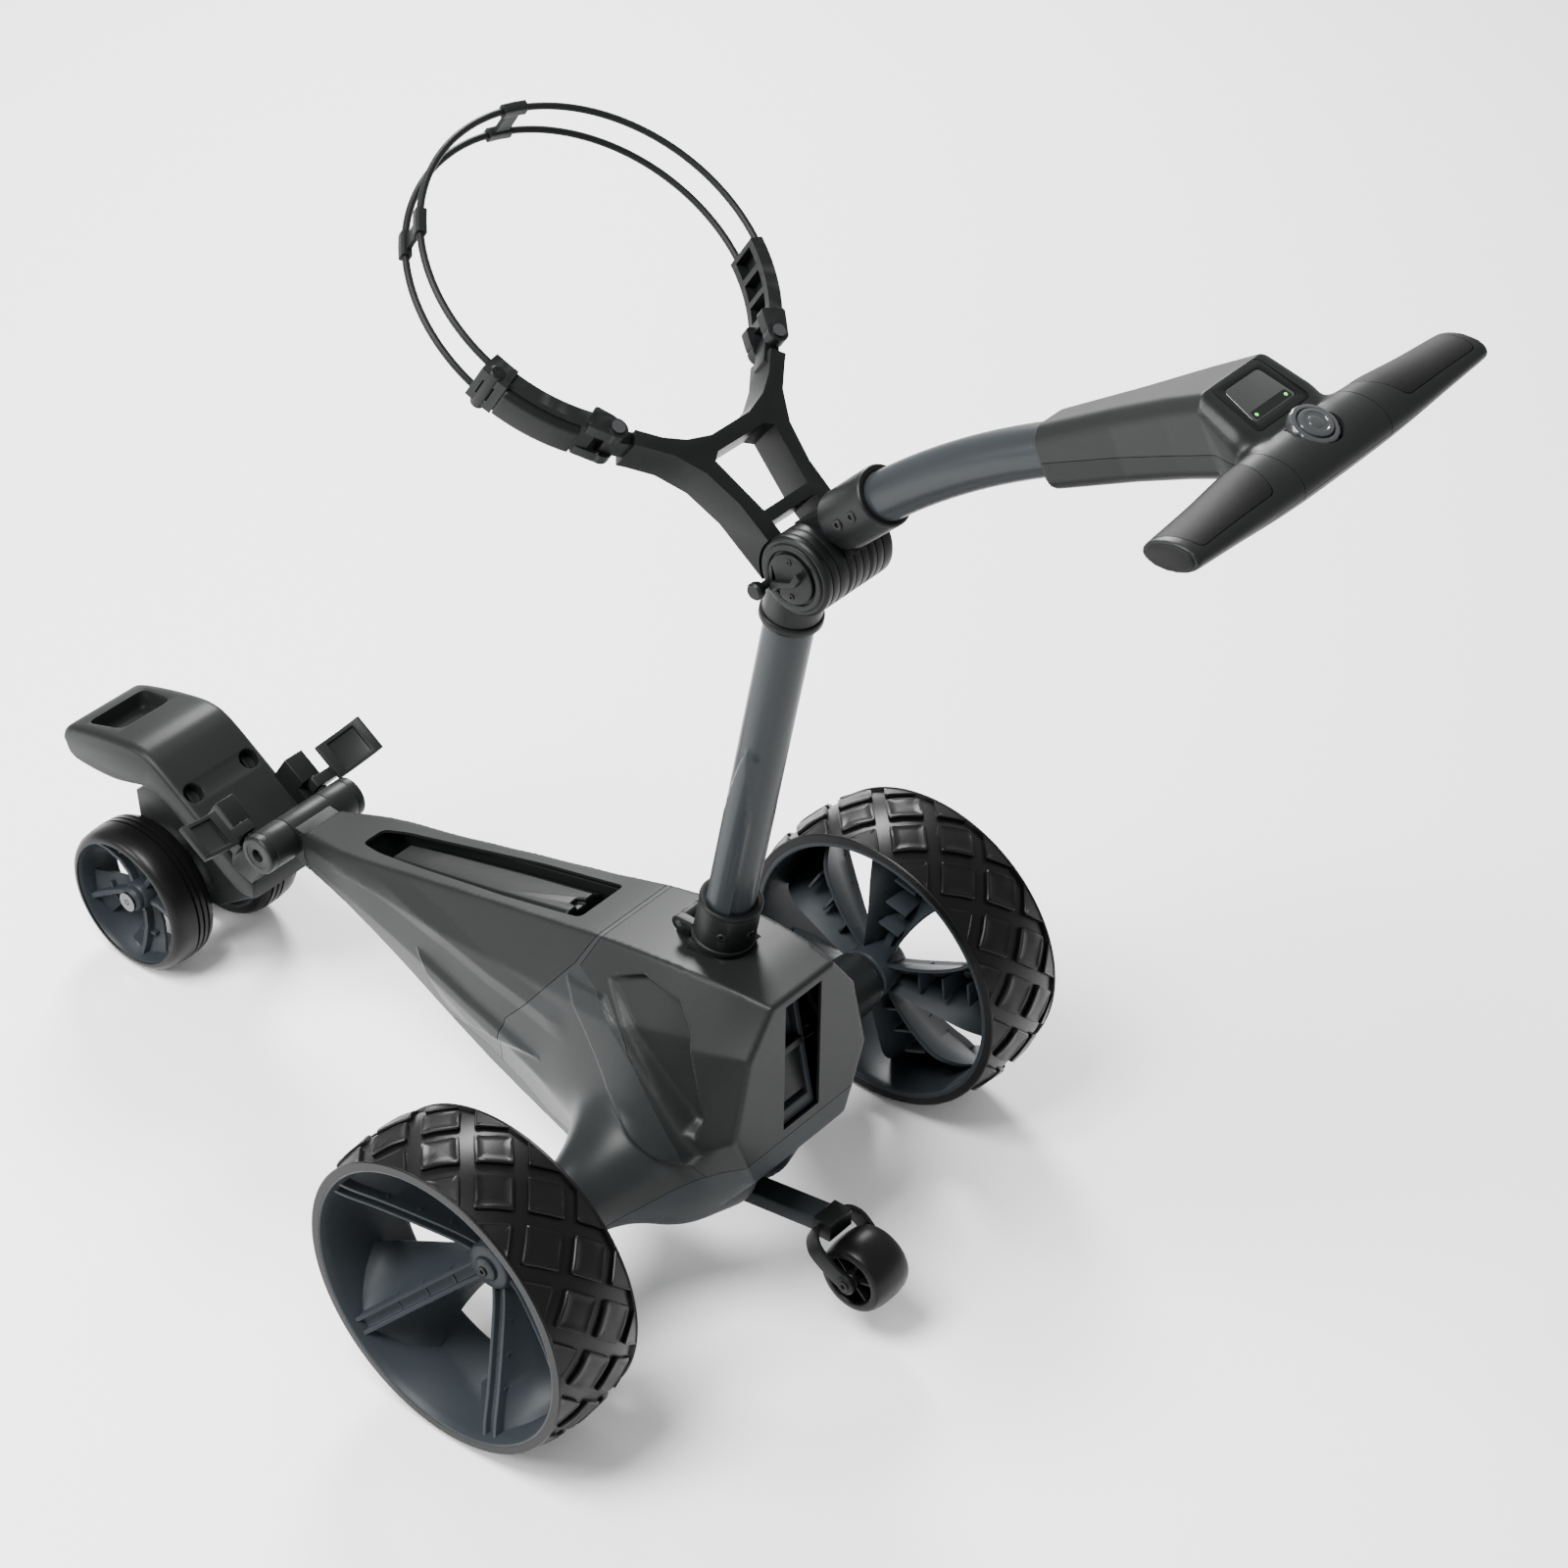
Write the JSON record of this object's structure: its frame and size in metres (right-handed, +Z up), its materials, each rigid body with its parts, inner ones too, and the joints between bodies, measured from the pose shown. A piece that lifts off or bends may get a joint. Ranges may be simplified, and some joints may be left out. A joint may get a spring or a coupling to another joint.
{
  "type": "electric golf trolley",
  "caption": "Three-section folding electric golf trolley with wide treaded rear wheels, battery spine, leaning mast, bag cradle with strap hoop and a T-shaped handle with a dial.",
  "frame": {"origin": "on the ground, at the middle of the overall length and width", "axes": "+Y is the travel direction, +X the right-hand side, +Z up"},
  "size_m": [0.6, 1.196, 0.9699],
  "materials": {
    "cover_plastic": "satin moulded",
    "pan_plastic": "matte moulded",
    "panel_plastic": "satin moulded",
    "black_plastic": "matte moulded",
    "rim_plastic": "satin moulded",
    "tyre_rubber": "smooth tread",
    "mast_paint": "satin powder coat",
    "bar_paint": "satin powder coat",
    "steel": "ground",
    "motor_metal": "machined",
    "cord_rubber": "smooth",
    "grip_rubber": "soft touch",
    "screen_glass": "gloss black",
    "dial_plastic": "clear gloss over grey",
    "battery_case": "fine texture",
    "board": "circuit board",
    "screw_steel": "black oxide"
  },
  "bodies": {
    "chassis": {"front_cover": "cover_plastic", "rear_cover": "cover_plastic", "side_panels": "panel_plastic", "belly_pan": "pan_plastic", "axle_housing_left": "pan_plastic", "axle_housing_right": "pan_plastic", "axle_bearings": "steel", "drive_units": "motor_metal", "rear_frame": "pan_plastic", "bay_tray": "black_plastic", "battery_plug": "black_plastic", "motor_controller": "board", "spine_neck": "cover_plastic", "mast_seat": "cover_plastic", "anti_tip_bar": "bar_paint", "anti_tip_fork": "black_plastic"},
    "rear_wheel_left": {"rear_tyre_left": "tyre_rubber", "rear_rim_left": "rim_plastic", "drive_shaft_left": "steel"},
    "rear_wheel_right": {"rear_tyre_right": "tyre_rubber", "rear_rim_right": "rim_plastic", "drive_shaft_right": "steel"},
    "front_section": {"foot_plate": "cover_plastic", "wheel_bracket": "black_plastic", "front_axle": "steel", "front_hinge_barrels": "cover_plastic", "front_hinge_pin": "steel", "lower_arm_blocks": "black_plastic"},
    "front_wheel_left": {"front_tyre_left": "tyre_rubber", "front_rim_left": "rim_plastic"},
    "front_wheel_right": {"front_tyre_right": "tyre_rubber", "front_rim_right": "rim_plastic"},
    "lower_arm_left": {"lower_arm_left": "black_plastic"},
    "lower_arm_right": {"lower_arm_right": "black_plastic"},
    "anti_tip_wheel": {"anti_tip_wheel": "black_plastic"},
    "battery": {"battery": "battery_case"},
    "rear_latch": {"latch_lever": "pan_plastic"},
    "mast": {"mast_tube": "mast_paint", "collar_screws": "screw_steel", "mast_collar": "black_plastic", "mast_pins": "steel", "hinge_head": "black_plastic", "hinge_caps": "black_plastic", "cradle_bracket": "black_plastic", "strap_left": "cord_rubber", "strap_right": "cord_rubber"},
    "hinge_catch": {"hinge_catch": "black_plastic"},
    "upper_arm_left": {"upper_arm_left": "black_plastic"},
    "upper_arm_right": {"upper_arm_right": "black_plastic"},
    "strap_buckle": {"buckle_lever": "black_plastic"},
    "handle": {"handle_socket": "black_plastic", "handle_tube": "mast_paint", "socket_screws": "screw_steel", "handle_top": "cover_plastic", "handle_bottom": "black_plastic", "grip_pads": "grip_rubber", "display_panel": "screen_glass", "handle_board": "board"},
    "dial": {"dial_ring": "dial_plastic"},
    "dial_cap": {"dial_button": "dial_plastic"}
  },
  "joints": [
    {"name": "rear_wheel_left_spin", "type": "hinge", "parent": "chassis", "child": "rear_wheel_left", "pos_m": [-0.257, -0.086, 0.133], "axis": [1, 0, 0], "continuous": true},
    {"name": "rear_wheel_right_spin", "type": "hinge", "parent": "chassis", "child": "rear_wheel_right", "pos_m": [0.257, -0.086, 0.133], "axis": [1, 0, 0], "continuous": true},
    {"name": "front_fold", "type": "hinge", "parent": "chassis", "child": "front_section", "pos_m": [0, 0.34701, 0.191], "axis": [1, 0, 0], "range_deg": [-65, 0]},
    {"name": "front_wheel_left_spin", "type": "hinge", "parent": "front_section", "child": "front_wheel_left", "pos_m": [-0.0515, 0.50301, 0.069], "axis": [1, 0, 0], "continuous": true},
    {"name": "front_wheel_right_spin", "type": "hinge", "parent": "front_section", "child": "front_wheel_right", "pos_m": [0.0515, 0.50301, 0.069], "axis": [1, 0, 0], "continuous": true},
    {"name": "lower_arm_left_pivot", "type": "hinge", "parent": "front_section", "child": "lower_arm_left", "pos_m": [-0.042, 0.372, 0.196], "axis": [0, 0.8387, 0.5446], "range_deg": [-15, 8]},
    {"name": "lower_arm_right_pivot", "type": "hinge", "parent": "front_section", "child": "lower_arm_right", "pos_m": [0.042, 0.372, 0.196], "axis": [0, 0.8387, 0.5446], "range_deg": [-8, 15]},
    {"name": "anti_tip_wheel_spin", "type": "hinge", "parent": "chassis", "child": "anti_tip_wheel", "pos_m": [0, -0.25699, 0.063], "axis": [1, 0, 0], "continuous": true},
    {"name": "battery_lift", "type": "slide", "parent": "chassis", "child": "battery", "axis": [0, 0.247, 0.969], "range_m": [0, 0.085]},
    {"name": "latch_pull", "type": "hinge", "parent": "chassis", "child": "rear_latch", "pos_m": [0, -0.17809, 0.19735], "axis": [1, 0, 0], "range_deg": [0, 25], "stiffness_Nm_per_rad": 0.3},
    {"name": "mast_fold", "type": "hinge", "parent": "chassis", "child": "mast", "pos_m": [0, -0.07899, 0.322], "axis": [1, 0, 0], "range_deg": [-75, 0]},
    {"name": "hinge_catch_turn", "type": "hinge", "parent": "mast", "child": "hinge_catch", "pos_m": [-0.04, -0.2015, 0.702], "axis": [1, 0, 0], "range_deg": [0, 60]},
    {"name": "upper_arm_left_pivot", "type": "hinge", "parent": "mast", "child": "upper_arm_left", "pos_m": [-0.084, -0.07737, 0.78261], "axis": [0, -0.5446, 0.8387], "range_deg": [0, 10], "deforming": ["strap_left"]},
    {"name": "upper_arm_right_pivot", "type": "hinge", "parent": "mast", "child": "upper_arm_right", "pos_m": [0.084, -0.07737, 0.78261], "axis": [0, -0.5446, 0.8387], "range_deg": [-10, 0], "deforming": ["strap_right"]},
    {"name": "buckle_open", "type": "hinge", "parent": "upper_arm_left", "child": "strap_buckle", "pos_m": [-0.10801, -0.06532, 0.79043], "axis": [0, -0.5446, 0.8387], "range_deg": [0, 45]},
    {"name": "handle_fold", "type": "hinge", "parent": "mast", "child": "handle", "pos_m": [0, -0.2015, 0.702], "axis": [1, 0, 0], "range_deg": [0, 100]},
    {"name": "dial_turn", "type": "hinge", "parent": "handle", "child": "dial", "pos_m": [0, -0.56832, 0.95058], "axis": [0, -0.3289, 0.9444], "continuous": true},
    {"name": "dial_press", "type": "slide", "parent": "dial", "child": "dial_cap", "axis": [0, 0.3289, -0.9444], "range_m": [0, 0.002], "stiffness_N_per_m": 400}
  ]
}
